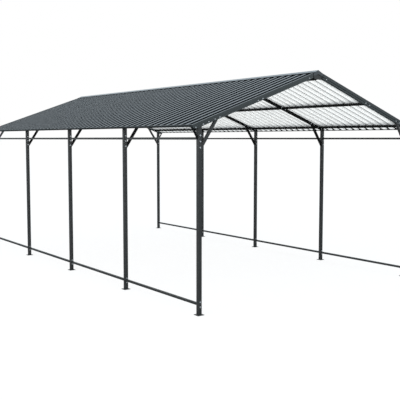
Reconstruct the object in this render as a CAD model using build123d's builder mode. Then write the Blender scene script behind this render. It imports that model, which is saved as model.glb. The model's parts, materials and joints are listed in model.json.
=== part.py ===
"""Free-standing gable carport: square-tube portal frames, side rails, purlins and ribbed roof sheets.

Millimetres, +Z up. The origin is on the ground at the centre of the plan. The length runs along Y,
the front gable faces -Y, and the ridge lies over X = 0. Every piece is made on the right-hand (+X)
side first, and the left-hand side is its mirror image.
"""

import os
from math import atan2, cos, radians, sin, sqrt, tan

from build123d import *

# Plan of the frame
bay_count = 4
bay_length = 1500.0
post_row_spacing = 3380.0

# Roof form, measured on the plane of the rib tops
ridge_height = 2602.0
roof_angle = 19.65
eave_overhang = 105.0
gable_overhang = 25.0

# Posts and their base plates
post_side = 42.0
post_wall = 1.5
tube_chamfer = 1.8
plate_side = 80.0
plate_thickness = 5.0
anchor_spacing = 58.0
anchor_hole_radius = 4.5

# Rafters, and the connector that joins a pair at the ridge
rafter_side = 36.0
rafter_wall = 1.5
rafter_tail = 102.0
tail_heel = 69.0
tail_cut_angle = 12.0
connector_reach = 82.0
apex_seam = 8.0
spigot_fit = 0.15
spigot_wall = 2.0
spigot_length = 150.0
gusset_height = 36.0
gusset_reach = 84.0

# Ridge beams, between the gussets and a little below them
ridge_beam_side = 38.0
ridge_beam_wall = 1.5
ridge_beam_drop = 7.0

# Knee braces inside the posts, and eave struts outside the gable posts; drops are from the rafter
knee_side = 28.0
knee_wall = 1.2
knee_foot_drop = 207.0
knee_head_reach = 212.0
strut_side = 16.0
strut_wall = 1.2
strut_foot_drop = 110.0
strut_angle = 58.5

# Side rails, between the posts, and the plates on their ends
rail_side = 25.0
rail_wall = 1.2
lower_rail_height = 112.5
upper_rail_drop = 114.0
end_plate_width = 30.0
end_plate_height = 84.0
end_plate_thickness = 3.0

# Purlins, between the rafters and level with their tops
purlin_side = 26.0
purlin_wall = 1.2
mid_purlin_reach = 893.0
eave_purlin_inset = 60.0

# Ribbed sheets
sheet_thickness = 0.5
rib_height = 20.0
rib_top_width = 44.0
rib_wall_run = 10.0
sheet_count = 7
ribs_per_sheet = 7
lap_lift = 1.5
ridge_opening = 12.0

# Flashings: ridge cap, gable trims and eave trims
flashing_thickness = 0.6
cap_rise = 9.0
cap_flange = 20.0
gable_flange = 21.0
gable_leg = 34.0
eave_flange = 14.0
eave_leg = 22.0
trim_clearance = 0.3

# What follows from the sizes above
frame_ys = [bay_length * (i - bay_count / 2) for i in range(bay_count + 1)]
post_x = post_row_spacing / 2
eave_reach = post_x + eave_overhang
roof_length = bay_count * bay_length + 2 * gable_overhang
roof_front = -roof_length / 2
slope_cos = cos(radians(roof_angle))
slope_sin = sin(radians(roof_angle))
slope_tan = tan(radians(roof_angle))
rafter_depth = rib_height + rafter_side / 2
rafter_bottom = rib_height + rafter_side
rafter_start = connector_reach + apex_seam
rafter_soffit = ridge_height - post_x * slope_tan - rafter_bottom / slope_cos
upper_rail_height = rafter_soffit - upper_rail_drop
flashing_bed = -sheet_thickness

os.makedirs("parts", exist_ok=True)


def slope_point(reach, depth, y=0.0):
    """Point on the right slope: reach is its X on the rib-top plane, depth is square below that plane."""
    return Vector(
        reach - depth * slope_sin,
        y,
        ridge_height - reach * slope_tan - depth * slope_cos,
    )


def slope_plane(reach, depth, y=0.0):
    """Plane square to the right slope: x along +Y, y out of the roof, z down the slope."""
    return Plane(
        origin=slope_point(reach, depth, y),
        x_dir=(0, 1, 0),
        z_dir=(slope_cos, 0, -slope_sin),
    )


def roof_layer(depth):
    """Plane parallel to the right slope at a depth, facing up and out."""
    return Plane(origin=slope_point(0, depth), x_dir=(0, 1, 0), z_dir=(slope_sin, 0, slope_cos))


def keep_part(builder, name):
    """Name a finished piece and write it as its own file."""
    builder.part.label = name
    export_step(builder.part, f"parts/{name}.step")


def keep_both_sides(builder, name):
    """Write the right-hand piece, and its mirror image as the left-hand one."""
    keep_part(builder, f"right_{name}")
    with BuildPart() as left_hand:
        mirror(builder.part, about=Plane.YZ)
    keep_part(left_hand, f"left_{name}")


def hollow_square(side, wall, chamfer_leg=0.0):
    """Section of a square tube; where it has a chamfer, a square turned by 45 degrees trims its corners."""
    Rectangle(side, side)
    if chamfer_leg > 0:
        trimming_side = sqrt(2) * (side - chamfer_leg)
        Rectangle(trimming_side, trimming_side, rotation=45, mode=Mode.INTERSECT)
    Rectangle(side - 2 * wall, side - 2 * wall, mode=Mode.SUBTRACT)


# Posts: a square tube on a base plate with four anchor holes, its top cut to sit under the rafter
for number, frame_y in enumerate(frame_ys, start=1):
    with BuildPart() as post:
        with BuildSketch(Plane.XY.offset(plate_thickness)):
            with Locations((post_x, frame_y)):
                hollow_square(post_side, post_wall, tube_chamfer)
        extrude(amount=ridge_height)
        split(bisect_by=roof_layer(rafter_bottom), keep=Keep.BOTTOM)
        with BuildSketch(Plane.XY):
            with Locations((post_x, frame_y)):
                Rectangle(plate_side, plate_side)
                with GridLocations(anchor_spacing, anchor_spacing, 2, 2):
                    Circle(anchor_hole_radius, mode=Mode.SUBTRACT)
        extrude(amount=plate_thickness)
    keep_both_sides(post, f"post_{number}")


# Rafters: a pair of tubes to each frame; only the gable pairs run out over the posts to the eaves
rafter_length = (post_x + rafter_tail - rafter_start) / slope_cos
tail_cut = Plane(
    origin=slope_point(post_x + tail_heel, rafter_bottom),
    x_dir=(0, 1, 0),
    z_dir=(sin(radians(tail_cut_angle)), 0, -cos(radians(tail_cut_angle))),
)
post_outer_face = Plane.YZ.offset(post_x + post_side / 2)
gable_ys = (frame_ys[0], frame_ys[-1])
for number, frame_y in enumerate(frame_ys, start=1):
    with BuildPart() as rafter_pair:
        with BuildSketch(slope_plane(rafter_start, rafter_depth, frame_y)):
            hollow_square(rafter_side, rafter_wall, tube_chamfer)
        extrude(amount=rafter_length)
        split(bisect_by=tail_cut if frame_y in gable_ys else post_outer_face, keep=Keep.BOTTOM)
        mirror(about=Plane.YZ)
    keep_part(rafter_pair, f"rafter_pair_{number}")


# Apex connectors: a mitred elbow flush with the rafters, with spigots into them and a gusset below
spigot_side = rafter_side - 2 * (rafter_wall + spigot_fit)
elbow_wall = rafter_wall + spigot_fit + spigot_wall
gusset_seam = rafter_bottom - elbow_wall / 2
gusset_crown = ridge_height - gusset_seam / slope_cos
gusset_top = ridge_height - rafter_bottom / slope_cos
gusset_bottom = gusset_top - gusset_height
elbow_heel = slope_point(connector_reach, rafter_bottom)
elbow_shoulder = slope_point(connector_reach, gusset_seam)
with BuildPart() as apex_connectors:
    for frame_y in frame_ys:
        elbow_mouth = slope_plane(connector_reach, rafter_depth, frame_y)
        with BuildSketch(elbow_mouth):
            hollow_square(rafter_side, elbow_wall, tube_chamfer)
        extrude(amount=-(connector_reach + rafter_side) / slope_cos)
        with BuildSketch(elbow_mouth):
            hollow_square(spigot_side, spigot_wall)
        extrude(amount=apex_seam + spigot_length)
    split(bisect_by=Plane.YZ, keep=Keep.TOP)
    for frame_y in frame_ys:
        with BuildSketch(Plane.XZ.offset(-frame_y)):
            with BuildLine():
                Polyline(
                    (0, gusset_crown),
                    (0, gusset_bottom),
                    (gusset_reach, gusset_bottom),
                    (gusset_reach, gusset_top - gusset_reach * slope_tan),
                    (elbow_heel.X, elbow_heel.Z),
                    (elbow_shoulder.X, elbow_shoulder.Z),
                    close=True,
                )
            make_face()
        extrude(amount=rafter_side / 2, both=True)
    mirror(about=Plane.YZ)
keep_part(apex_connectors, "apex_connectors")


# Ridge beams: a tube in each bay, butted between the gussets
bay_clear_length = bay_length - rafter_side
ridge_beam_height = gusset_bottom - ridge_beam_drop + ridge_beam_side / 2
with BuildPart() as ridge_beams:
    for frame_y in frame_ys[:-1]:
        with BuildSketch(Plane.XZ.offset(-(frame_y + rafter_side / 2))):
            with Locations((0, ridge_beam_height)):
                hollow_square(ridge_beam_side, ridge_beam_wall)
        extrude(amount=-bay_clear_length)
keep_part(ridge_beams, "ridge_beams")


# Knee braces: from the inner face of each post up to the underside of its rafter
knee_foot = Vector(post_x - post_side / 2, 0, rafter_soffit - knee_foot_drop)
knee_head_x = post_x - knee_head_reach
knee_head = Vector(knee_head_x, 0, ridge_height - knee_head_x * slope_tan - rafter_bottom / slope_cos)
knee_line = knee_head - knee_foot
with BuildPart() as knee_braces:
    for frame_y in frame_ys:
        middle = (knee_foot + knee_head) / 2 + Vector(0, frame_y, 0)
        with BuildSketch(Plane(origin=middle, x_dir=(0, 1, 0), z_dir=knee_line)):
            hollow_square(knee_side, knee_wall)
        extrude(amount=knee_line.length, both=True)
    split(bisect_by=roof_layer(rafter_bottom), keep=Keep.BOTTOM)
    split(bisect_by=Plane.YZ.offset(knee_foot.X), keep=Keep.BOTTOM)
keep_both_sides(knee_braces, "knee_braces")


# Eave struts: from the outer face of each gable post up to the tail of its rafter
strut_foot = Vector(post_x + post_side / 2, 0, rafter_soffit - strut_foot_drop)
strut_line = Vector(cos(radians(strut_angle)), 0, sin(radians(strut_angle)))
with BuildPart() as eave_struts:
    for frame_y in gable_ys:
        foot = strut_foot + Vector(0, frame_y, 0)
        with BuildSketch(Plane(origin=foot, x_dir=(0, 1, 0), z_dir=strut_line)):
            hollow_square(strut_side, strut_wall)
        extrude(amount=2 * strut_foot_drop, both=True)
    split(bisect_by=tail_cut, keep=Keep.TOP)
    split(bisect_by=post_outer_face, keep=Keep.TOP)
keep_both_sides(eave_struts, "eave_struts")


# Side rails: an upper and a lower tube in each bay, with an upright plate on each end at the posts
rail_length = bay_length - post_side
rail_bore = rail_side - 2 * rail_wall
with BuildPart() as side_rails:
    for frame_y in frame_ys[:-1]:
        near_post = frame_y + post_side / 2
        for rail_height in (lower_rail_height, upper_rail_height):
            with BuildSketch(Plane.XZ.offset(-near_post)):
                with Locations((post_x, rail_height)):
                    hollow_square(rail_side, rail_wall)
            extrude(amount=-rail_length)
            for plate_face in (near_post, near_post + rail_length - end_plate_thickness):
                with BuildSketch(Plane.XZ.offset(-plate_face)):
                    with Locations((post_x, rail_height)):
                        Rectangle(end_plate_width, end_plate_height)
                        Rectangle(rail_bore, rail_bore, mode=Mode.SUBTRACT)
                extrude(amount=-end_plate_thickness)
keep_both_sides(side_rails, "side_rails")


# Purlins: an eave and a middle tube in each bay, square to the slope, butted between the rafters
purlin_depth = rib_height + purlin_side / 2
eave_purlin_reach = post_x - eave_purlin_inset
with BuildPart() as purlins:
    for frame_y in frame_ys[:-1]:
        for purlin_reach in (mid_purlin_reach, eave_purlin_reach):
            seat = slope_point(purlin_reach, purlin_depth, frame_y + rafter_side / 2)
            with BuildSketch(Plane(origin=seat, x_dir=(slope_cos, 0, -slope_sin), z_dir=(0, 1, 0))):
                hollow_square(purlin_side, purlin_wall)
            extrude(amount=bay_clear_length)
keep_both_sides(purlins, "purlins")


# Roof sheets: trapezoid ribs down the slope; the last rib of a sheet laps over the first of the next
rib_pitch = roof_length / (sheet_count * ribs_per_sheet)
rib_rise = rib_height - sheet_thickness
wall_angle = atan2(rib_rise, rib_wall_run)
half_base = rib_top_width / 2 + rib_wall_run
layer_shift = tan(wall_angle / 2)


def rib_wall(side, offset, height):
    """Distance from the rib's centre to its sloping wall, for a layer laid offset above the first."""
    return side * (half_base + offset * layer_shift - (height - offset) / tan(wall_angle))


def rib_side(centre, side, offset, low, high):
    """Foot and shoulder of one rib wall, in the order in which the section is drawn."""
    foot = (centre + rib_wall(side, offset, low), low)
    shoulder = (centre + rib_wall(side, offset, high), high)
    return [foot, shoulder] if side < 0 else [shoulder, foot]


def sheet_surface(number, offset):
    """Section of one face of a sheet, from its first rib to its lap: offset 0 below, one layer above."""
    start = roof_front + number * ribs_per_sheet * rib_pitch
    crest = rib_rise + offset
    is_last = number == sheet_count - 1
    if number == 0:
        points = [(start, crest)]
    else:
        points = rib_side(start, -1, offset, lap_lift, crest)
    points += rib_side(start, 1, offset, offset, crest)
    for k in range(1, ribs_per_sheet):
        centre = start + k * rib_pitch
        points += rib_side(centre, -1, offset, offset, crest)
        points += rib_side(centre, 1, offset, offset, crest)
    end = start + ribs_per_sheet * rib_pitch
    if is_last:
        return points + rib_side(end, -1, offset, offset, crest) + [(end, crest)]
    lap = offset + sheet_thickness
    points += rib_side(end, -1, lap, offset, rib_rise + lap)
    return points + rib_side(end, 1, lap, lap_lift, rib_rise + lap)


sheet_run = (eave_reach - ridge_opening) / slope_cos
for number in range(sheet_count):
    with BuildPart() as roof_sheet:
        with BuildSketch(slope_plane(ridge_opening, rib_height)):
            with BuildLine():
                lower_face = sheet_surface(number, 0)
                upper_face = sheet_surface(number, sheet_thickness)
                Polyline(*lower_face, *reversed(upper_face), close=True)
            make_face()
        extrude(amount=sheet_run)
    keep_both_sides(roof_sheet, f"roof_sheet_{number + 1}")


# Ridge cap: flat edges on the rib tops, a raised fold between them, and both gable ends closed
cap_length = roof_length + 2 * flashing_thickness
cap_edge = slope_point(connector_reach, flashing_bed)
cap_top = slope_point(connector_reach, flashing_bed - flashing_thickness)
cap_leg = slope_point(connector_reach, gable_leg)
cap_kink = slope_point(connector_reach - cap_flange, flashing_bed)
cap_kink_top = slope_point(connector_reach - cap_flange, flashing_bed - flashing_thickness)
cap_fold = ridge_height + cap_rise
cap_crest = cap_fold + flashing_thickness / slope_cos
cap_skirt = ridge_height - gable_leg / slope_cos
with BuildPart() as ridge_cap:
    for outline, length in (
        ([(0, cap_crest), (cap_kink_top.X, cap_kink_top.Z), (cap_top.X, cap_top.Z)], cap_length),
        ([(0, cap_skirt), (cap_leg.X, cap_leg.Z)], flashing_thickness),
    ):
        with BuildSketch(Plane.XZ.offset(cap_length / 2)):
            with BuildLine():
                inner_bends = [(cap_edge.X, cap_edge.Z), (cap_kink.X, cap_kink.Z)]
                Polyline((0, cap_fold), *outline, *inner_bends, close=True)
            make_face()
            mirror(about=Plane.YZ)
        extrude(amount=-length)
    mirror(about=Plane.XZ)
keep_part(ridge_cap, "ridge_cap")


# Gable trims: angles down each gable edge, over the edge rib and the upper part of the end rafter
trim_run = (eave_reach - rafter_start) / slope_cos
for gable, facing in (("front", 1), ("rear", -1)):
    with BuildPart() as gable_trims:
        with BuildSketch(slope_plane(rafter_start, 0)):
            edge = facing * roof_front
            with BuildLine():
                Polyline(
                    (edge, -gable_leg),
                    (edge, 0),
                    (edge + facing * gable_flange, 0),
                    (edge + facing * gable_flange, flashing_thickness),
                    (edge - facing * flashing_thickness, flashing_thickness),
                    (edge - facing * flashing_thickness, -gable_leg),
                    close=True,
                )
            make_face()
        extrude(amount=trim_run)
        mirror(about=Plane.YZ)
    keep_part(gable_trims, f"{gable}_gable_trims")


# Eave trims: angles along each eave, over the rib tops and down across the ends of the sheets
eave_corner = slope_point(eave_reach, flashing_bed)
flange_edge = slope_point(eave_reach - eave_flange * slope_cos, flashing_bed)
leg_edge = slope_point(eave_reach, eave_leg)
outward = Vector(slope_cos, 0, -slope_sin) * flashing_thickness
upward = Vector(slope_sin, 0, slope_cos) * flashing_thickness
eave_flange_length = roof_length - 2 * (gable_flange + trim_clearance)
with BuildPart() as eave_trim:
    for inner, outer, shift, length in (
        (leg_edge, eave_corner + upward, outward, roof_length),
        (flange_edge, eave_corner, upward, eave_flange_length),
    ):
        with BuildSketch(Plane.XZ):
            with BuildLine():
                outline = [inner, outer, outer + shift, inner + shift]
                Polyline(*[(point.X, point.Z) for point in outline], close=True)
            make_face()
        extrude(amount=length / 2, both=True)
keep_both_sides(eave_trim, "eave_trim")
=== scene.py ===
# %% [markdown]
# # A free-standing gable carport
#
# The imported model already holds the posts, rafters, rails and roof sheets at their real size. This
# notebook gives them their finish, adds the small fasteners, and sets the camera and the light.
# All lengths are in metres. +Z is up, and the front gable faces -Y.

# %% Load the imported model
import json
import math
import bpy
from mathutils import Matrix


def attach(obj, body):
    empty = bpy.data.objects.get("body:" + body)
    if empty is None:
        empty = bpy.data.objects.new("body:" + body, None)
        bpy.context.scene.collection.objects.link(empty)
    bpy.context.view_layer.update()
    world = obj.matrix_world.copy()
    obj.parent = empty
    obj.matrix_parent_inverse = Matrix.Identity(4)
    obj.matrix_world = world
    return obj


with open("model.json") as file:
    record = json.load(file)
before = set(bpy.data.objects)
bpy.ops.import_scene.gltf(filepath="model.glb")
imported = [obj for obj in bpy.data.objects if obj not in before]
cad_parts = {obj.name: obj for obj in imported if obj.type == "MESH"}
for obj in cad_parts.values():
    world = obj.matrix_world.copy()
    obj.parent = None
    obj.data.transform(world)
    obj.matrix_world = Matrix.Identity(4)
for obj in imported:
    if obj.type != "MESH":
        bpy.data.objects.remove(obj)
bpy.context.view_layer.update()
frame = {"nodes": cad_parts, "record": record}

from types import SimpleNamespace

import bpy
import numpy as np
from mathutils import Vector

# %% [markdown]
# ## The camera
#
# The camera stands left of the front gable at eye height, and looks along the left-hand posts. It
# could stand closer with a wide lens, but the far posts would then shrink too fast. A fairly long
# lens keeps them alike, and a small vertical shift frames the roof without more tilt.

# %% Camera
camera_place = Vector((-5.757, -8.535, 1.822))
camera_heading = math.radians(36.39)
camera_pitch = math.radians(4.38)

camera_data = bpy.data.cameras.new("camera")
camera_data.sensor_width = 36.0
camera_data.lens = 60.65
camera_data.shift_y = -0.02405
camera_data.clip_end = 400.0
camera = bpy.data.objects.new("camera", camera_data)
camera.location = camera_place
camera.rotation_euler = (math.pi / 2 - camera_pitch, 0.0, -camera_heading)
bpy.context.collection.objects.link(camera)
bpy.context.scene.camera = camera
print("camera", round(camera_place.length, 2), "m from the middle of the carport's ground")

# %% [markdown]
# ## The floor
#
# The carport stands on plain pale ground. A curved paper sweep would hide the ground's far edge,
# but here ground and sky are both white, so one large flat square is enough. It lies half a
# millimetre under the base plates, so that the two don't share a plane.

# %% Floor
floor_reach = 150.0
floor_drop = 0.0005


def filled_mesh(name, points, corners, sizes):
    """A mesh from whole arrays: points, the corners of all faces in one row, corners per face."""
    mesh = bpy.data.meshes.new(name)
    mesh.vertices.add(len(points))
    mesh.vertices.foreach_set("co", points.astype(np.float32).ravel())
    mesh.loops.add(len(corners))
    mesh.loops.foreach_set("vertex_index", corners.astype(np.int32))
    mesh.polygons.add(len(sizes))
    mesh.polygons.foreach_set("loop_start", (np.cumsum(sizes) - sizes).astype(np.int32))
    mesh.shade_flat()
    mesh.update(calc_edges=True)
    return mesh


def flat_square(name, half_side, height):
    """A square on the plane z = height, from -half_side to +half_side in X and Y."""
    sign = np.array([[-1, -1], [1, -1], [1, 1], [-1, 1]], float)
    points = np.column_stack([sign * half_side, np.full(4, height)])
    thing = bpy.data.objects.new(name, filled_mesh(name, points, np.arange(4), np.array([4])))
    bpy.context.collection.objects.link(thing)
    return thing


floor = flat_square("studio_floor", floor_reach, -floor_drop)

# The Standard view shows white as white, where a filmic one would grey it.
bpy.context.scene.view_settings.view_transform = "Standard"
print("floor", 2 * floor_reach, "m wide")

# %% [markdown]
# ## Nodes in a few lines
#
# A finish in Blender is a tree of nodes. It could be wired by hand in the Shader Editor, but that
# can't be read again as a recipe. These helpers each add one node with its links and return what
# comes out of it, so that a finish can be written as a few short sums.

# %% Helpers for node trees


def set_inputs(tree, node, inputs):
    """Link each input that is given a socket, and set each that is given a plain value."""
    for name, value in inputs.items():
        if isinstance(value, bpy.types.NodeSocket):
            tree.links.new(value, node.inputs[name])
        else:
            node.inputs[name].default_value = value


def add_node(tree, kind, inputs=None, **settings):
    """A new node with its settings, and with its inputs linked or set."""
    node = tree.nodes.new(kind)
    for name, value in settings.items():
        setattr(node, name, value)
    set_inputs(tree, node, inputs or {})
    return node


def fade(tree, value, start, end, low=0.0, high=1.0):
    """A number that runs from low where value is start to high where it is end, and stays there."""
    return add_node(tree, "ShaderNodeMapRange", {
        "Value": value, "From Min": start, "From Max": end, "To Min": low, "To Max": high,
    }).outputs["Result"]


def blend(tree, factor, first, second):
    """The first colour where factor is 0, the second where it is 1; each is RGB or a socket."""
    first, second = ((*colour, 1.0) if isinstance(colour, tuple) else colour
                     for colour in (first, second))
    return add_node(tree, "ShaderNodeMix", {"Factor": factor, "A": first, "B": second},
                    data_type="RGBA").outputs["Result"]


def mix_shaders(tree, factor, first, second):
    """The first shader where factor is 0, and the second where it is 1."""
    return add_node(tree, "ShaderNodeMixShader", {0: factor, 1: first, 2: second}).outputs["Shader"]


print("helpers for nodes are ready")

# %% [markdown]
# ## The sky
#
# Dark glossy steel shows its form by what it mirrors, so the sky does most of the lighting. A sky
# of one flat white would leave the roof without tones. This one is weaker at the horizon and grows
# stronger and bluer higher up, as on a bright overcast day. The camera itself sees plain white.

# %% Sky
horizon_light, upper_light = 0.75, 1.20
horizon_tint, upper_tint = (0.93, 1.0, 1.03), (0.86, 1.0, 1.10)
upper_rise = 0.6
plain_white = (1.0, 1.0, 1.0, 1.0)


def studio_sky():
    """White to the camera; as light, its tint and strength follow the rise of the direction."""
    world = bpy.data.worlds.new("studio_sky")
    world.use_nodes = True
    tree = world.node_tree
    direction = add_node(tree, "ShaderNodeTexCoord").outputs["Generated"]
    rise = add_node(tree, "ShaderNodeSeparateXYZ", {"Vector": direction}).outputs["Z"]
    lit = add_node(tree, "ShaderNodeBackground", {
        "Color": blend(tree, fade(tree, rise, 0.0, upper_rise), horizon_tint, upper_tint),
        "Strength": fade(tree, rise, 0.0, upper_rise, horizon_light, upper_light)})
    seen = tree.nodes["Background"]
    set_inputs(tree, seen, {"Color": plain_white})
    camera_ray = add_node(tree, "ShaderNodeLightPath").outputs["Is Camera Ray"]
    surface = mix_shaders(tree, camera_ray, lit.outputs["Background"], seen.outputs["Background"])
    set_inputs(tree, tree.nodes["World Output"], {"Surface": surface})
    return world


bpy.context.scene.world = studio_sky()
print("sky light", horizon_light, "at the horizon,", upper_light, "higher up")

# %% [markdown]
# ## The key light
#
# Under the sky alone, the two faces of a square tube that the camera sees would be almost alike. A
# sun would part them, but with hard shadows. A large area light from the front left, like a
# photographer's soft box, makes one face a little lighter and keeps every shadow soft.

# %% Key light


def soft_light(name, place, target, size, power):
    """A square area light at place, turned so that it shines towards target."""
    data = bpy.data.lights.new(name, "AREA")
    data.size = size
    data.energy = power
    light = bpy.data.objects.new(name, data)
    light.location = place
    light.rotation_euler = (Vector(target) - Vector(place)).to_track_quat("-Z", "Y").to_euler()
    bpy.context.collection.objects.link(light)
    return light


key_light = soft_light("key_light", place=(-11.0, -4.0, 7.0), target=(0.0, 0.0, 1.2),
                       size=6.0, power=500.0)
print("key light", round(key_light.location.length, 1), "m away")

# %% [markdown]
# ## The surface of coated steel
#
# A powder coat isn't perfectly smooth: it has a fine orange peel, and its tone drifts a little
# along a tube. An image would need every tube unwrapped. Noise in object coordinates keeps its
# real size on each piece instead, and as one node group it serves all the finishes.

# %% Node group for coated steel


def new_group(name, number_inputs, number_outputs):
    """An empty node group with a Vector input and the named numbers, its entry and its exit."""
    group = bpy.data.node_groups.new(name, "ShaderNodeTree")
    group.interface.new_socket("Vector", in_out="INPUT", socket_type="NodeSocketVector")
    for way, socket_names in (("INPUT", number_inputs), ("OUTPUT", number_outputs)):
        for socket_name in socket_names:
            group.interface.new_socket(socket_name, in_out=way, socket_type="NodeSocketFloat")
    return group, add_node(group, "NodeGroupInput"), add_node(group, "NodeGroupOutput")


def coat_group():
    """Tone is broad noise, and Peel is fine noise; both run from 0 to 1 over the surface."""
    group, entry, leave = new_group("coated_steel_surface", ("Broad Scale", "Fine Scale"),
                                    ("Tone", "Peel"))
    for scale, result, detail in (("Broad Scale", "Tone", 3.0), ("Fine Scale", "Peel", 2.0)):
        noise = add_node(group, "ShaderNodeTexNoise", {
            "Vector": entry.outputs["Vector"], "Scale": entry.outputs[scale], "Detail": detail})
        set_inputs(group, leave, {result: noise.outputs["Fac"]})
    return group


coat_surface = coat_group()
print("group", coat_surface.name, "has", len(coat_surface.nodes), "nodes")

# %% [markdown]
# ## Where a point lies on the roof
#
# Some finishes change from ridge to eave, or from the top of a rib down to its pan. A UV map could
# carry that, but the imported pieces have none. The two numbers that a carpenter would use, the reach
# out from the ridge and the depth below the rib tops, follow from the object coordinates.

# %% Node group for places on the roof
ridge_height = 2.602
roof_angle = math.radians(19.65)


def compute(tree, operation, *values):
    """The result of a Math node on one, two or three values."""
    return add_node(tree, "ShaderNodeMath", dict(enumerate(values)),
                    operation=operation).outputs["Value"]


def roof_place_group():
    """Depth d = (ridge - z) cos a - |x| sin a, and Reach = |x| + d sin a, with a the roof angle."""
    group, entry, leave = new_group("roof_place", (), ("Reach", "Depth"))
    point = add_node(group, "ShaderNodeSeparateXYZ", {"Vector": entry.outputs["Vector"]})
    out = compute(group, "ABSOLUTE", point.outputs["X"])
    drop = compute(group, "SUBTRACT", ridge_height, point.outputs["Z"])
    upright = compute(group, "MULTIPLY", drop, math.cos(roof_angle))
    depth = compute(group, "MULTIPLY_ADD", out, -math.sin(roof_angle), upright)
    reach = compute(group, "MULTIPLY_ADD", depth, math.sin(roof_angle), out)
    set_inputs(group, leave, {"Reach": reach, "Depth": depth})
    return group


roof_place = roof_place_group()
print("group", roof_place.name, "has", len(roof_place.nodes), "nodes")

# %% [markdown]
# ## Coated steel as one function
#
# Every coat on this carport is the same kind of surface: a colour and a roughness that drift
# together, and a very slight bump. Each could have a tree of its own, but one function with a few
# numbers keeps them alike.

# %% A coated finish
peel_strength = 0.25


def new_material(name):
    """A new material, its node tree and its Principled shader."""
    material = bpy.data.materials.new(name)
    material.use_nodes = True
    return material, material.node_tree, material.node_tree.nodes["Principled BSDF"]


def coated_finish(name, dark, light, rough, drift_scale, peel_scale, peel_depth, gloss=0.0):
    """Coated steel: colour and roughness drift with Tone, and Peel is the height of the bump."""
    material, tree, shader = new_material(name)
    coordinates = add_node(tree, "ShaderNodeTexCoord")
    surface = add_node(tree, "ShaderNodeGroup", {
        "Vector": coordinates.outputs["Object"], "Broad Scale": drift_scale,
        "Fine Scale": peel_scale}, node_tree=coat_surface)
    tone, peel = surface.outputs["Tone"], surface.outputs["Peel"]
    colour = blend(tree, tone, dark, light)
    bump = add_node(tree, "ShaderNodeBump", {
        "Strength": peel_strength, "Distance": peel_depth, "Height": peel})
    set_inputs(tree, shader, {
        "Base Color": colour, "Roughness": fade(tree, tone, 0.0, 1.0, *rough),
        "Specular IOR Level": gloss, "Normal": bump.outputs["Normal"]})
    return SimpleNamespace(material=material, tree=tree, shader=shader, coordinates=coordinates,
                           colour=colour, rough=rough, peel=peel, bump=bump)


print("the orange peel's bump has a strength of", peel_strength)

# %% [markdown]
# ## The plain coats
#
# The frame is satin charcoal powder coat. The inner members stand in the roof's shade, so they get a
# darker, matt copy of it: painted shade. The two gable rafters get a lighter copy of the trim coat:
# painted light. The folded trims are smoother and a little bluer. A piece could also be tinted by
# its own colour attribute, but a named coat is easier to change later.

# %% Plain coats
tube_grain = {"drift_scale": 2.5, "peel_scale": 700.0, "peel_depth": 0.0002}
trim_grain = {"drift_scale": 1.8, "peel_scale": 500.0, "peel_depth": 0.0001}
charcoal = {"dark": (0.021, 0.0207, 0.0200), "light": (0.027, 0.0267, 0.0258),
            "rough": (0.38, 0.50), **tube_grain}
frame_gloss = 0.60
trim_gloss = 0.60

frame_coat = coated_finish("charcoal_powder_coat", **charcoal, gloss=frame_gloss).material
# A darker, matt copy of the charcoal for the inner members: painted shade of the roof.
shaded_frame_coat = coated_finish("frame_coat_painted_shade", (0.004, 0.0045, 0.0045), (0.006, 0.0065, 0.0065),
                          (0.45, 0.60), **tube_grain, gloss=0.15).material
flashing_coat = coated_finish("charcoal_flashing", (0.020, 0.0245, 0.0250),
                              (0.026, 0.0310, 0.0315), (0.26, 0.36), **trim_grain,
                              gloss=trim_gloss).material
# A lighter copy of the trim coat for the two gable rafters: painted light.
lit_gable_coat = coated_finish("gable_rafter_painted_light", (0.025, 0.0300, 0.0305),
                           (0.031, 0.0365, 0.0370), (0.26, 0.36), **trim_grain,
                           gloss=trim_gloss).material
eave_coat = coated_finish("eave_trim_coat", (0.015, 0.0170, 0.0180), (0.020, 0.0225, 0.0235),
                          (0.40, 0.50), **trim_grain, gloss=0.30).material
plain_coats = (frame_coat, shaded_frame_coat, flashing_coat, lit_gable_coat, eave_coat)
print("plain coats:", *(coat.name for coat in plain_coats))

# %% [markdown]
# ## Coats that darken in a hollow
#
# A gap between two parts shows black, because light hardly gets in and nothing bright is mirrored
# there. Finer geometry and many light bounces could find that by themselves, but not in a picture
# this small. Instead, a mask turns the coat black there and takes its gloss away.

# %% Helpers for coats with a mask
hollow_black = (0.001, 0.001, 0.001)
# The share of light that a coat with a gloss of 1 mirrors head-on.
full_gloss_mirror = 0.08


def both(tree, first, second):
    """The product of two masks: 1 only where both are."""
    return compute(tree, "MULTIPLY", first, second)


def larger(tree, first, second):
    """The larger of two masks: 1 where either is."""
    return compute(tree, "MAXIMUM", first, second)


def place_on_roof(coat):
    """The reach and the depth of the point being shaded."""
    place = add_node(coat.tree, "ShaderNodeGroup", {
        "Vector": coat.coordinates.outputs["Object"]}, node_tree=roof_place)
    return place.outputs["Reach"], place.outputs["Depth"]


def darken_hollow(coat, hollow, gloss):
    """Where hollow is 1 the coat turns black and loses its gloss, as in the shade of a gap.

    The gloss is that of the coat layer, because its weight may change over a surface. Its IOR is
    (1 + m) / (1 - m), where m squared is the share of light that it mirrors head-on.
    """
    mirror = math.sqrt(full_gloss_mirror * gloss)
    colour = blend(coat.tree, hollow, coat.colour, hollow_black)
    set_inputs(coat.tree, coat.shader, {
        "Base Color": colour,
        "Coat Weight": fade(coat.tree, hollow, 1.0, 0.0),
        "Coat IOR": (1.0 + mirror) / (1.0 - mirror),
        "Coat Roughness": sum(coat.rough) / 2})
    return colour


print("a gloss of", frame_gloss, "mirrors", round(full_gloss_mirror * frame_gloss, 3), "head-on")

# %% [markdown]
# ## The ridge connectors
#
# At each ridge a short connector joins the two rafters, and its spigots slide into them. Between
# the connector and the end of a rafter a narrow seam lies in shade. It could be a cut in the model,
# but the spigot is already there, so painted shade turns the coat black from where the spigot starts.

# %% Connector coat
spigot_start, spigot_dark = 0.0780, 0.0800


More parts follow.
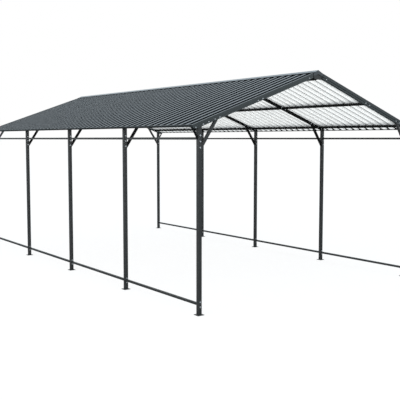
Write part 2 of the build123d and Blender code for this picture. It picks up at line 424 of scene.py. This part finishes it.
def connector_finish():
    """The frame's coat, with painted shade that turns it black where the reach is that of a spigot.
    """
    coat = coated_finish("connector_coat", **charcoal)
    reach, _ = place_on_roof(coat)
    darken_hollow(coat, fade(coat.tree, reach, spigot_start, spigot_dark), frame_gloss)
    return coat.material


connector_coat = connector_finish()
print(connector_coat.name, "turns black beyond a reach of", spigot_start)

# %% [markdown]
# ## The knee braces
#
# All the knee braces are the same tube, but those inside stand under the roof and look nearly
# black, and those of the two gables catch the light. Two materials would need the node split, so
# one material reads how far along the carport the brace stands, and paints the roof's shade on the
# inner ones.

# %% Knee brace coat
lit_from, shaded_from = 2.6, 2.4
roof_shade = 0.8


def knee_finish():
    """The frame's coat at the two gables, and painted roof shade, nearly black, where |y| is smaller.
    """
    coat = coated_finish("knee_brace_coat", **charcoal)
    point = add_node(coat.tree, "ShaderNodeSeparateXYZ", {
        "Vector": coat.coordinates.outputs["Object"]})
    along = compute(coat.tree, "ABSOLUTE", point.outputs["Y"])
    # Painted shade: the braces under the roof are darkened nearly to black.
    under_roof = fade(coat.tree, along, lit_from, shaded_from, high=roof_shade)
    darken_hollow(coat, under_roof, frame_gloss)
    return coat.material


knee_coat = knee_finish()
print(knee_coat.name, "is darkened within", shaded_from, "m of the middle")

# %% [markdown]
# ## The ridge cap
#
# The cap is one folded strip: a raised fold over the ridge, with a flat edge down each slope. The
# fold mirrors the bright sky, and the edges lie in its shade. One mask, from the reach and the
# depth, paints that shade black on the flat edges. It leaves out the cap's ends, which hang lower
# than the flat edges.

# %% Ridge cap coat
fold_gloss = 0.80
fold_end, edge_start = 0.048, 0.056
skirt_depth, edge_depth = 0.004, 0.002


def ridge_finish():
    """A glossy coat on the raised fold, and painted black shade on the flat edges beside it."""
    coat = coated_finish("ridge_cap_coat", (0.018, 0.0235, 0.0270), (0.024, 0.0305, 0.0340),
                         (0.18, 0.24), **trim_grain)
    reach, depth = place_on_roof(coat)
    # Painted shade: the flat edges of the cap turn black.
    flat_edge = both(coat.tree, fade(coat.tree, reach, fold_end, edge_start),
                     fade(coat.tree, depth, skirt_depth, edge_depth))
    darken_hollow(coat, flat_edge, fold_gloss)
    return coat.material


ridge_coat = ridge_finish()
print(ridge_coat.name, "is dull beyond a reach of", edge_start)

# %% [markdown]
# ## The roof sheets from above
#
# The sheets are ribbed steel, coated dark blue-grey on top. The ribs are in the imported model, but
# their steep walls and the pans under the ridge cap get so little light that they show nearly
# black. The light alone leaves that shade too weak in a picture this small, so two masks add it,
# from the slope of the face and from its place on the roof.

# %% Top of the sheets
sheet_gloss = 0.28
sheet_grain = {"drift_scale": 1.2, "peel_scale": 400.0, "peel_depth": 0.0001}
flat_side, steep_side, steep_shade = 0.30, 0.60, 0.75
cap_shade_end, cap_shade_full = 0.130, 0.085
rib_top_depth, pan_side_depth = 0.003, 0.008


def shade_top(coat, below, facing, reach, depth):
    """The top colour with painted shade on rib walls and under the ridge cap, and dulled on the
    underside.
    """
    tree = coat.tree
    steepness = compute(tree, "ABSOLUTE", facing.outputs["Y"])
    # Painted shade on the steep rib walls and on the pans under the ridge cap.
    rib_wall = fade(tree, steepness, flat_side, steep_side, high=steep_shade)
    under_cap = both(tree, fade(tree, reach, cap_shade_end, cap_shade_full),
                     fade(tree, depth, rib_top_depth, pan_side_depth))
    smooth_below = both(tree, coat.peel, fade(tree, below, 1.0, 0.0))
    set_inputs(tree, coat.bump, {"Height": smooth_below})
    return darken_hollow(coat, larger(tree, larger(tree, under_cap, rib_wall), below), sheet_gloss)


print("rib walls are shaded by", steep_shade)

# %% [markdown]
# ## The roof sheets from below
#
# Below, the sheets are white. Painted shade lays a grey line in the hollow of each rib, greys the
# white just above each purlin, and blackens it where the eave closes the ribs off. A black strip
# along the eave edge stands in for the line that the eave trim makes from inside. An image of lines
# would have to be fitted to the ribs, but the depth and the reach of a point follow them as they
# are.

# %% Underside of the sheets
# crease_grey and purlin_grey are painted shade; eave_black is painted shade in the pockets and the
# trim's line at the eave.
backing_white, crease_grey = (0.87, 0.83, 0.79), (0.27, 0.26, 0.25)
purlin_grey, eave_black = (0.42, 0.41, 0.40), (0.02, 0.02, 0.02)
crease_start, crease_full = 0.006, 0.002
# The reaches where the shade above a purlin begins, is full, still is, and ends.
purlin_shades = ((0.770, 0.875, 0.900, 0.905), (1.500, 1.610, 1.635, 1.640))
pocket_start, pocket_full = 1.655, 1.668
pocket_low, pocket_high = 0.0110, 0.0070
drip_start, drip_full = 1.768, 1.774


def shade_backing(tree, reach, depth):
    """The white backing with painted shade: grey in ribs and above purlins, black in eave pockets."""
    # Painted shade: the crease of each rib, the strips above the purlins and the eave's closed
    # pockets.
    crease = fade(tree, depth, crease_start, crease_full)
    over_purlin = [both(tree, fade(tree, reach, begin, full), fade(tree, reach, end, still))
                   for begin, full, still, end in purlin_shades]
    pocket = both(tree, fade(tree, reach, pocket_start, pocket_full),
                  fade(tree, depth, pocket_low, pocket_high))
    # A black strip along the eave edge stands in for the line that the eave trim makes from inside.
    drip = fade(tree, reach, drip_start, drip_full)
    colour = blend(tree, crease, backing_white, crease_grey)
    colour = blend(tree, larger(tree, *over_purlin), colour, purlin_grey)
    return blend(tree, larger(tree, pocket, drip), colour, eave_black)


print("the underside is shaded above", len(purlin_shades), "purlins on each slope")

# %% [markdown]
# ## Both sides of a sheet in one material
#
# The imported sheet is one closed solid. Top and underside could have a material each, but the packed
# meshes stay untouched. So one material tells them apart by which way a face looks, and lays the
# top coat or the white backing there.

# %% Sheet coat
# A face looks down if its normal's Z is below this, which leaves out the cut ends of the sheet.
cut_end_z, underside_z = -0.364, -0.366


def sheet_finish():
    """Dark coat on top and matt white below, with painted shade where light hardly gets in."""
    coat = coated_finish("ribbed_sheet_coat", (0.0092, 0.0135, 0.0185), (0.0126, 0.0176, 0.0242),
                         (0.22, 0.30), **sheet_grain)
    tree = coat.tree
    reach, depth = place_on_roof(coat)
    facing = add_node(tree, "ShaderNodeSeparateXYZ", {
        "Vector": coat.coordinates.outputs["Normal"]})
    below = fade(tree, facing.outputs["Z"], cut_end_z, underside_z)
    top = shade_top(coat, below, facing, reach, depth)
    faces = blend(tree, below, top, shade_backing(tree, reach, depth))
    set_inputs(tree, coat.shader, {"Base Color": faces})
    return coat.material


sheet_coat = sheet_finish()
print(sheet_coat.name, "has", len(sheet_coat.node_tree.nodes), "nodes")

# %% [markdown]
# ## Zinc for the bolts
#
# The bolts are zinc plated, which is why they show as light dots on the dark frame. A mirror-bright
# metal would sparkle, so its roughness drifts with noise, and it is a little less than full metal,
# as dulled plating is.

# %% Zinc plating
plating_metal = 0.7
plating_rough = (0.30, 0.50)
plating_scale = 60.0


def zinc_finish():
    """Zinc plating: a pale metal whose tone and roughness drift with the broad noise."""
    material, tree, shader = new_material("zinc_plating")
    coordinates = add_node(tree, "ShaderNodeTexCoord")
    tone = add_node(tree, "ShaderNodeGroup", {
        "Vector": coordinates.outputs["Object"], "Broad Scale": plating_scale},
        node_tree=coat_surface).outputs["Tone"]
    set_inputs(tree, shader, {
        "Base Color": blend(tree, tone, (0.56, 0.57, 0.58), (0.70, 0.71, 0.72)),
        "Metallic": plating_metal, "Roughness": fade(tree, tone, 0.0, 1.0, *plating_rough)})
    return material


zinc = zinc_finish()
print(zinc.name, "has a roughness from", *plating_rough)

# %% [markdown]
# ## Paint for the floor
#
# The floor has three jobs. As light it is pale paint that glows a little, so that it fills the
# white underside of the roof. Mirrored in the dark coats it is dark ground, so that they stay dark.
# To the camera it is white. One mix of shaders, chosen by the kind of ray, does all three. What the
# camera sees keeps a dim base colour, because the denoiser needs one to clean the picture.

# %% Floor paint
floor_grain = {"drift_scale": 0.3, "peel_scale": 40.0, "peel_depth": 0.0001}
floor_gloss = 0.35
floor_glow = 0.30
mirrored_grey = (0.04, 0.04, 0.04, 1.0)
seen_base, seen_glow = (0.12, 0.12, 0.12, 1.0), 0.885


def floor_finish():
    """Pale glowing paint as light, dark ground in mirror images, and white to the camera."""
    paint = coated_finish("studio_floor_paint", (0.86, 0.86, 0.86), (0.90, 0.90, 0.90),
                          (0.80, 0.90), **floor_grain, gloss=floor_gloss)
    tree = paint.tree
    set_inputs(tree, paint.shader, {"Emission Color": plain_white, "Emission Strength": floor_glow})
    mirrored = add_node(tree, "ShaderNodeBsdfDiffuse", {"Color": mirrored_grey})
    seen = add_node(tree, "ShaderNodeBsdfPrincipled", {
        "Base Color": seen_base, "Specular IOR Level": 0.0, "Emission Color": plain_white,
        "Emission Strength": seen_glow})
    ray = add_node(tree, "ShaderNodeLightPath")
    unseen = mix_shaders(tree, ray.outputs["Is Glossy Ray"], paint.shader.outputs["BSDF"],
                         mirrored.outputs["BSDF"])
    surface = mix_shaders(tree, ray.outputs["Is Camera Ray"], unseen, seen.outputs["BSDF"])
    set_inputs(tree, tree.nodes["Material Output"], {"Surface": surface})
    return paint.material


floor.data.materials.append(floor_finish())
print("floor paint glows at", floor_glow)

# %% [markdown]
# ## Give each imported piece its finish
#
# A maker would coat each part before assembly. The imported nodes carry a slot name, which gives most
# of them their coat. The names of the others say which part they are, and the first rule whose
# words are in a name wins. Only the material changes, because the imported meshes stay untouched.

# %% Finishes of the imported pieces
finish_of_part = (
    ("apex_connectors", connector_coat), ("knee_braces", knee_coat), ("ridge_cap", ridge_coat),
    # The gable rafters get the painted-light coat, and the inner members the painted-shade coat.
    ("eave_trim", eave_coat), ("rafter_pair_1", lit_gable_coat), ("rafter_pair_5", lit_gable_coat),
    ("rafter_pair", shaded_frame_coat), ("purlins", shaded_frame_coat), ("ridge_beams", shaded_frame_coat),
    ("eave_struts", shaded_frame_coat))
finish_of_slot = {"frame": frame_coat, "flashing": flashing_coat, "roof_sheet": sheet_coat}
slot_of_node = {row["node"]: row["material_slot"] for row in frame["record"]["subparts"]}


def finish_of(node_name):
    """The finish of the first rule whose words are in the name, or else that of its slot."""
    for words, finish in finish_of_part:
        if words in node_name:
            return finish
    return finish_of_slot[slot_of_node[node_name]]


for node_name, node in frame["nodes"].items():
    if not node.material_slots:
        node.data.materials.append(finish_of(node_name))
    for node_slot in node.material_slots:
        node_slot.material = finish_of(node_name)
print("finished", len(frame["nodes"]), "packed pieces")

# %% [markdown]
# ## Where the fasteners go
#
# Bolts sit at mid-depth of the rafters and on the centre lines of the posts, in pairs where a rail
# or purlin ends. Their places could be read off the meshes, but a maker works from the drawing, so
# the sizes of the frame are repeated here.

# %% Sizes of the frame
frame_ys = np.array([-3.0, -1.5, 0.0, 1.5, 3.0])
sides = np.array([-1.0, 1.0])
post_x = 1.690
half_post = 0.021
half_rafter = 0.018
end_plate = 0.003
rafter_depth = 0.056
rafter_mid_depth = 0.038
soffit_height = (ridge_height - post_x * math.tan(roof_angle)
                 - rafter_depth / math.cos(roof_angle))
upper_rail_drop, knee_foot_drop = 0.114, 0.207
upper_rail = soffit_height - upper_rail_drop
lower_rail = 0.1125
knee_foot = soffit_height - knee_foot_drop


def roof_points(reach, depth, side, y):
    """Points on a slope: X = side (reach - depth sin a), Z = ridge - reach tan a - depth cos a."""
    reach, depth, side, y = np.broadcast_arrays(
        *(np.asarray(value, float) for value in (reach, depth, side, y)))
    x = side * (reach - depth * math.sin(roof_angle))
    z = ridge_height - reach * math.tan(roof_angle) - depth * math.cos(roof_angle)
    return np.stack([x, y, z], axis=-1).reshape(-1, 3)


print("the upper rail is", round(upper_rail, 3), "m up, under a soffit at", round(soffit_height, 3))

# %% [markdown]
# ## The shape of a bolt
#
# A hexagon head, a nut and a washer are each a profile of radii and heights turned round an axis,
# with six sides for the hexagons and more for the round parts. A Screw modifier could turn the
# profile too, but as arrays the rings and their faces come in one step, already closed.

# %% Turned shapes


def turned_shape(profile, step_count):
    """Ring i is (r_i cos t, r_i sin t, h_i), t in equal steps round +Z, with both ends closed."""
    profile = np.asarray(profile, float)
    angle = np.arange(step_count) * 2 * math.pi / step_count
    radius, height = profile[:, :1], profile[:, 1:]
    x, y = radius * np.cos(angle), radius * np.sin(angle)
    points = np.stack([x, y, np.broadcast_to(height, x.shape)], axis=-1).reshape(-1, 3)
    index = np.arange(x.size).reshape(x.shape)
    onward = np.roll(index, -1, axis=1)
    walls = np.stack([index[:-1], onward[:-1], onward[1:], index[1:]], axis=-1)
    corners = np.concatenate([walls.ravel(), index[0, ::-1], index[-1]])
    sizes = np.repeat([4, step_count], [walls.size // 4, 2])
    return points, corners, sizes


def joined(*shapes):
    """Several shapes as one: their points follow each other, and the corners are renumbered."""
    points, corners, sizes = zip(*shapes)
    starts = np.cumsum([0] + [len(part) for part in points[:-1]])
    corners = [part + start for part, start in zip(corners, starts)]
    return np.concatenate(points), np.concatenate(corners), np.concatenate(sizes)


def bevelled(radius, bottom, top, bevel_in, bevel_down):
    """Profile of a disc or prism: straight up at radius, then in and up along the bevel."""
    return [(radius, bottom), (radius, top - bevel_down), (radius - bevel_in, top)]


hexagon, circle, small_circle = 6, 20, 12
washer_top, head_top, nut_top, thread_top = 0.0016, 0.0069, 0.0084, 0.0126
washer = turned_shape(bevelled(0.0080, 0.0, washer_top, 0.0002, 0.0002), circle)
bolt_head = turned_shape(bevelled(0.0075, washer_top, head_top, 0.0009, 0.0007), hexagon)
nut = turned_shape(bevelled(0.0075, washer_top, nut_top, 0.0009, 0.0006), hexagon)
thread_end = turned_shape(bevelled(0.0040, nut_top, thread_top, 0.0006, 0.0006), small_circle)
headed_bolt = joined(washer, bolt_head)
nut_on_thread = joined(washer, nut, thread_end)
print("a bolt has", len(headed_bolt[2]), "faces, and a nut on its thread", len(nut_on_thread[2]))

# %% [markdown]
# ## Many copies as one piece
#
# More than three hundred fasteners would be slow to handle as objects. An instancer could repeat
# one, but the export wants real meshes. So numpy turns and moves one shape to every place at once,
# and all the copies become one joined mesh.

# %% Copies of a shape


def copies(name, shape, places, outward, material, slot):
    """Copy k is R_k p + c_k, where R_k turns +Z to the outward direction at the place c_k."""
    points, corners, sizes = shape
    outward = np.broadcast_to(np.asarray(outward, float), places.shape)
    outward = outward / np.linalg.norm(outward, axis=1, keepdims=True)
    nearly_upright = np.abs(outward[:, 2:]) > 0.8
    helper = np.where(nearly_upright, [[0.0, 1.0, 0.0]], [[0.0, 0.0, 1.0]])
    first = np.cross(helper, outward)
    first /= np.linalg.norm(first, axis=1, keepdims=True)
    second = np.cross(outward, first)
    turn = np.stack([first, second, outward], axis=-1)
    moved = np.einsum("kij,pj->kpi", turn, points) + places[:, None, :]
    starts = np.arange(len(places))[:, None] * len(points)
    mesh = filled_mesh(name, moved.reshape(-1, 3), (corners + starts).ravel(),
                       np.tile(sizes, len(places)))
    mesh.materials.append(material)
    piece = bpy.data.objects.new(name, mesh)
    bpy.context.collection.objects.link(piece)
    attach(piece, "root")
    print(name, len(places), "copies,", len(mesh.polygons), "faces")
    return piece


# %% [markdown]
# ## Bolts through the posts and rafters
#
# Each bolt goes through a tube, with its head on one face and its nut on the other. The rear frame
# is turned round, so that both gables show heads. Where a rail ends, an end plate lies between the
# post and the bolt. Only the gable rafters have a tail, with one more bolt in it.

# %% Bolts through the posts and rafters
lower_pair, upper_pair = 0.026, 0.031
rail_levels = np.array([lower_rail - lower_pair, lower_rail + lower_pair,
                        upper_rail - upper_pair, upper_rail + upper_pair])
# Reaches of the bolts for the connector, middle purlin, knee brace, eave purlin and rafter tail.
rafter_reaches = np.array([0.152, 0.859, 0.927, 1.452, 1.514, 1.596, 1.664, 1.760])
tail_count = 1


def through_bolts(frame_y, face):
    """Places on one face of a frame: rail ends and knee feet on the posts, then the rafters."""
    is_gable = abs(frame_y) == frame_ys.max()
    is_outer_face = face * frame_y == frame_ys.max()
    post_face = frame_y + face * (half_post + (0.0 if is_outer_face else end_plate))
    x, z = np.meshgrid(sides * post_x, rail_levels, indexing="ij")
    on_plates = np.column_stack([x.ravel(), np.full(x.size, post_face), z.ravel()])
    on_posts = np.column_stack([sides * post_x, np.full(2, frame_y + face * half_post),
                                np.full(2, knee_foot)])
    reaches = rafter_reaches if is_gable else rafter_reaches[:-tail_count]
    reach, side = np.meshgrid(reaches, sides, indexing="ij")
    on_rafters = roof_points(reach, rafter_mid_depth, side, frame_y + face * half_rafter)
    return np.concatenate([on_plates, on_posts, on_rafters])


def on_faces(faces):
    """The bolt places on one face of every frame, and the direction in which each looks."""
    groups = [through_bolts(frame_y, face) for frame_y, face in zip(frame_ys, faces)]
    ways = np.repeat(faces, [len(group) for group in groups])
    return np.concatenate(groups), ways[:, None] * np.array([[0.0, 1.0, 0.0]])


head_faces = np.where(frame_ys < frame_ys.max(), -1.0, 1.0)
copies("frame_bolts", headed_bolt, *on_faces(head_faces), zinc, "frame")
copies("frame_nuts", nut_on_thread, *on_faces(-head_faces), zinc, "frame")

# %% [markdown]
# ## Roofing screws
#
# The sheets are held to the purlins by self-drilling screws in their flat pans. They are coated in
# the roof's colour, so from a distance they are only small dots in a row over each purlin. A dot in
# the sheet's material would do from afar, but it would be missing from the exported shape.

# %% Roofing screws
roof_front = -3.025
rib_count = 49
rib_pitch = -2 * roof_front / rib_count
purlin_reaches = np.array([0.893, 1.630])
pan_depth = 0.0195
flange_top, screw_top = 0.0016, 0.0054
screw = joined(turned_shape(bevelled(0.0070, 0.0, flange_top, 0.0018, 0.0006), small_circle),
               turned_shape(bevelled(0.0046, flange_top, screw_top, 0.0008, 0.0006), hexagon))
pan_ys = roof_front + (np.arange(0, rib_count, 2) + 0.5) * rib_pitch
reach, side, y = np.meshgrid(purlin_reaches, sides, pan_ys, indexing="ij")
screw_places = roof_points(reach, pan_depth, side, y)
roof_up = np.column_stack([np.sign(screw_places[:, 0]) * math.sin(roof_angle),
                           np.zeros(len(screw_places)),
                           np.full(len(screw_places), math.cos(roof_angle))])
copies("roofing_screws", screw, screw_places, roof_up, flashing_coat, "flashing")
